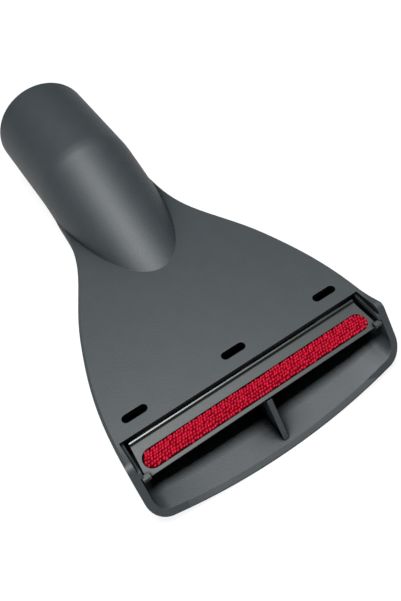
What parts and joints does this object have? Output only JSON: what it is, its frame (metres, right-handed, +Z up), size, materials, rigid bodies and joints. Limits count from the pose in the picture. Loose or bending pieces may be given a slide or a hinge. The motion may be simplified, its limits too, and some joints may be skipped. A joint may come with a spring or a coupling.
{
  "type": "vacuum upholstery nozzle",
  "caption": "Fan-shaped moulded upholstery nozzle with a wide slanted mouth, a clip-in bar that carries a textile lint strip, a kinked neck and a round push-on socket.",
  "frame": {"origin": "middle of the object's box, on the floor it lies on, plate up", "axes": "+X across the mouth, +Y from the mouth back to the socket, +Z up out of the flat top plate"},
  "size_m": [0.0938, 0.1706, 0.0428],
  "materials": {
    "housing_plastic": "fine spark-eroded grain",
    "bar_plastic": "satin",
    "strip_textile": "looped knit pile"
  },
  "bodies": {
    "root": {"nozzle_housing": "housing_plastic", "strip_holder": "bar_plastic", "lint_strip": "strip_textile"}
  },
  "joints": []
}
